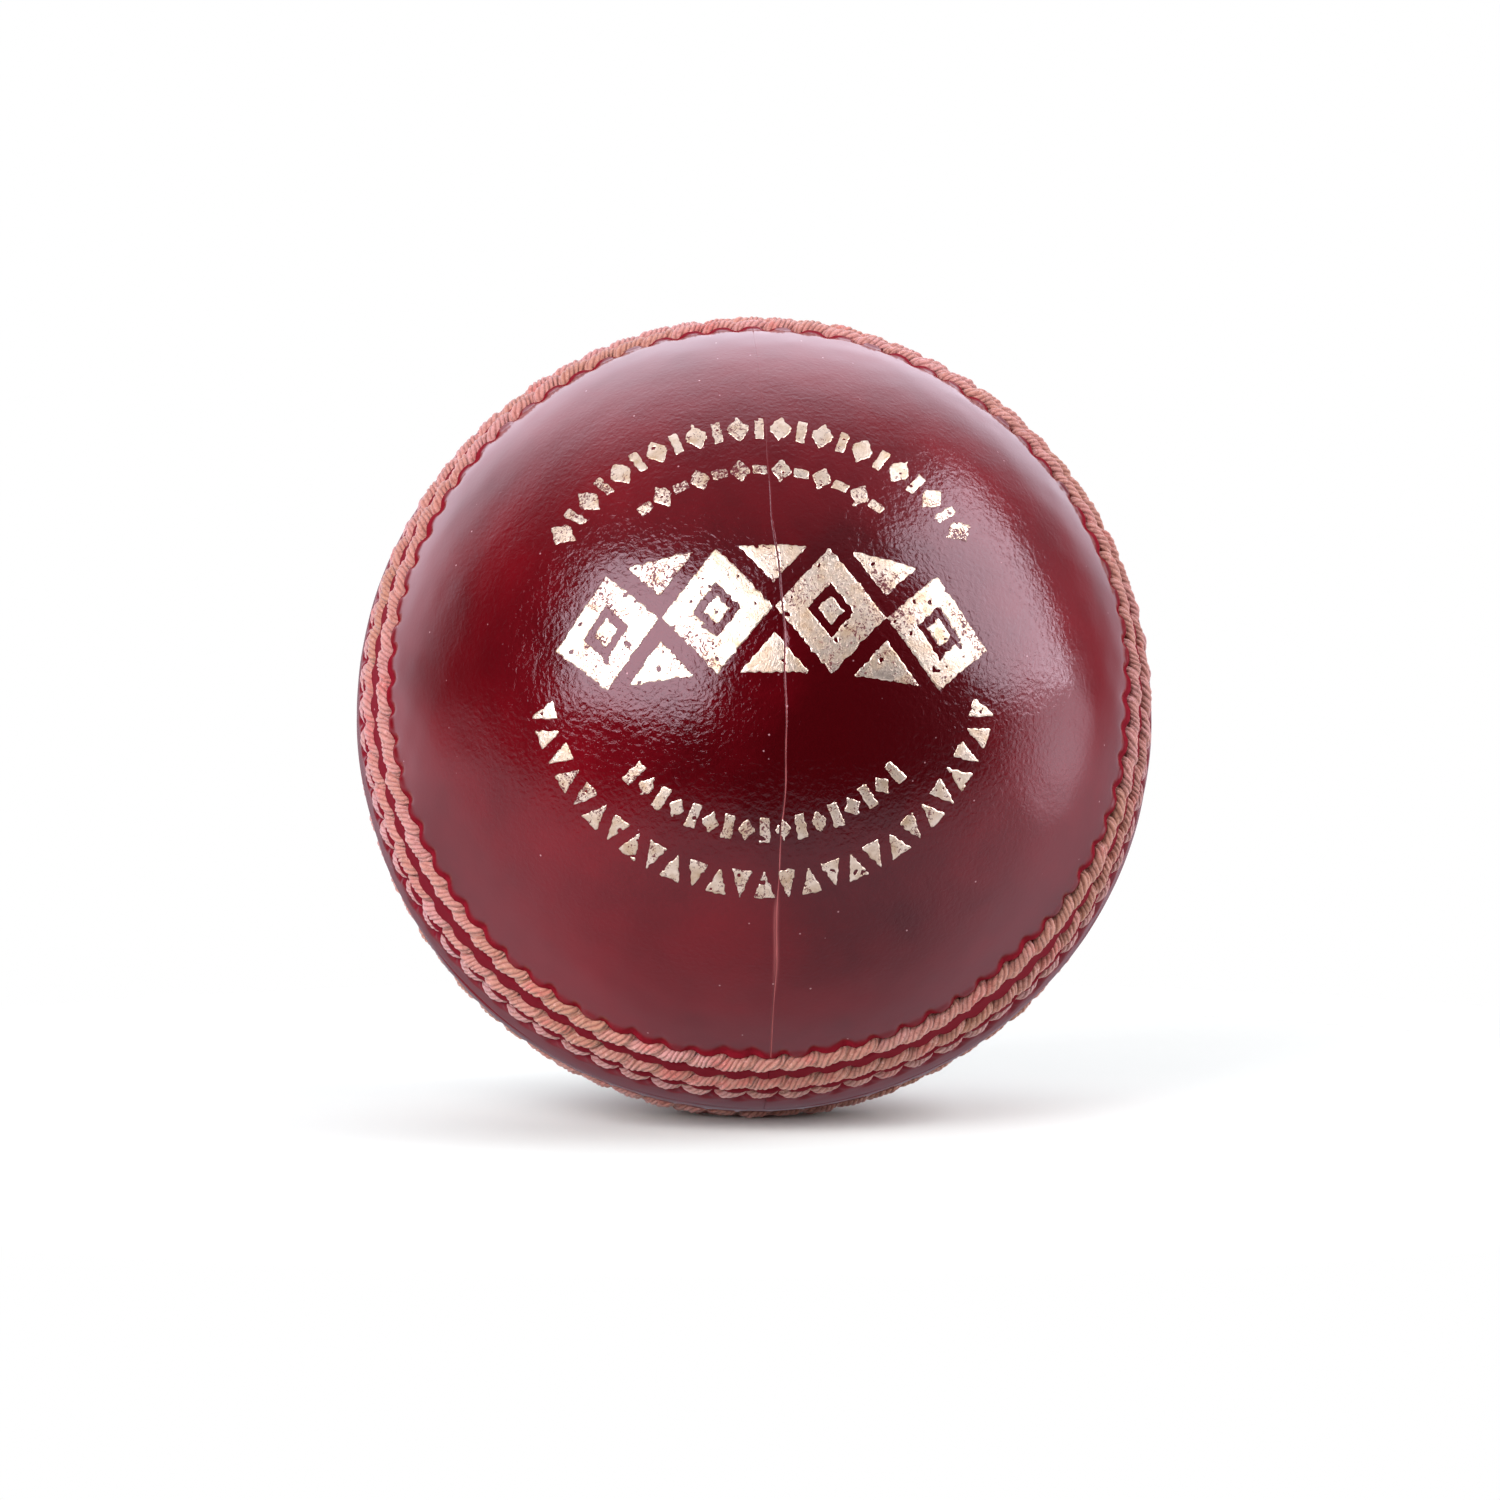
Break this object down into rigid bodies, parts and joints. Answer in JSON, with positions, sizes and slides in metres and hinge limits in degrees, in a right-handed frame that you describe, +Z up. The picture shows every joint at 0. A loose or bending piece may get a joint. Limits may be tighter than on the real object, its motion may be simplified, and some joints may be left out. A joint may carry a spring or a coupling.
{
  "type": "cricket ball",
  "caption": "Hard round ball of cherry-red lacquered leather quarters, sewn round its middle with raised rows of twisted thread over a wound cork and wool centre.",
  "frame": {"origin": "centre of the ball", "axes": "+Z up, with the ball at rest on its seam; the front cup, whose quarter seam stands upright, faces -Y and leans 15.5 degrees upward"},
  "size_m": [0.0728, 0.0716, 0.0728],
  "materials": {
    "cherry_leather": "gloss",
    "seam_thread": "matte",
    "quarter_thread": "matte",
    "lining_cloth": "matte",
    "wool_yarn": "matte",
    "cork": "matte",
    "cork_rubber": "matte"
  },
  "bodies": {
    "root": {"core_ball": "cork_rubber", "inner_wool_winding": "wool_yarn", "middle_wool_winding": "wool_yarn", "outer_wool_winding": "wool_yarn", "inner_cork_slip_1": "cork", "inner_cork_slip_2": "cork", "inner_cork_slip_3": "cork", "inner_cork_slip_4": "cork", "outer_cork_slip_1": "cork", "outer_cork_slip_2": "cork", "outer_cork_slip_3": "cork", "outer_cork_slip_4": "cork", "front_lining_strip": "lining_cloth", "back_lining_strip": "lining_cloth", "front_left_quarter": "cherry_leather", "front_right_quarter": "cherry_leather", "back_upper_quarter": "cherry_leather", "back_lower_quarter": "cherry_leather", "front_quarter_thread": "quarter_thread", "back_quarter_thread": "quarter_thread", "front_outer_stitch_row": "seam_thread", "front_middle_stitch_row": "seam_thread", "front_inner_stitch_row": "seam_thread", "back_inner_stitch_row": "seam_thread", "back_middle_stitch_row": "seam_thread", "back_outer_stitch_row": "seam_thread", "joining_thread": "seam_thread"}
  },
  "joints": []
}
